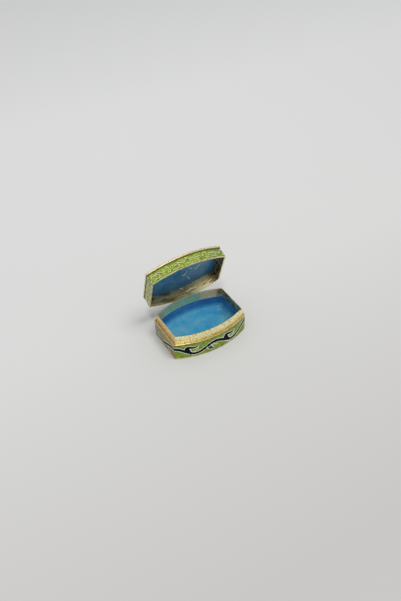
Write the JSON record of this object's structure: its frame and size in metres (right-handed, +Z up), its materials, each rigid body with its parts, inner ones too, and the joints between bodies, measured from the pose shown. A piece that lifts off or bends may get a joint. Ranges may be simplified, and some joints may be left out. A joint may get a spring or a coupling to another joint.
{
  "type": "cloisonne enamel box",
  "caption": "Small barrel-plan enamel trinket box with a hinged lid, an inner collar that the lid closes over, and an enamelled hollow inside.",
  "frame": {"origin": "middle of the underside, on the surface that the box stands on", "axes": "+X along the box from end to end, +Y towards the hinge, +Z up"},
  "size_m": [0.0454, 0.0417, 0.0465],
  "materials": {
    "gilt_copper": "gilt copper, softly polished, dull and olive inside the lid",
    "collar_brass": "pale brass, hammered and brushed by hand",
    "hinge_brass": "gilt brass",
    "green_enamel": "glossy vitreous enamel with wire-edged scrollwork",
    "lime_enamel": "glossy vitreous enamel with gilt wire scrolls",
    "blue_enamel": "glossy vitreous enamel, plain",
    "dark_blue_enamel": "glossy vitreous enamel, plain"
  },
  "bodies": {
    "base": {"base_body": "gilt_copper", "base_wall_enamel": "green_enamel", "base_inner_enamel": "blue_enamel", "base_underside_enamel": "blue_enamel", "base_collar": "collar_brass", "hinge_base_leaf": "hinge_brass", "hinge_pin": "hinge_brass"},
    "lid": {"lid_body": "gilt_copper", "lid_wall_enamel": "lime_enamel", "lid_top_enamel": "lime_enamel", "lid_ceiling_enamel": "dark_blue_enamel", "hinge_lid_leaf": "hinge_brass"}
  },
  "joints": [
    {"name": "lid_hinge", "type": "hinge", "parent": "base", "child": "lid", "pos_m": [0, 0.01815, 0.0109], "axis": [-1, 0, 0], "range_deg": [-70, 30]}
  ]
}
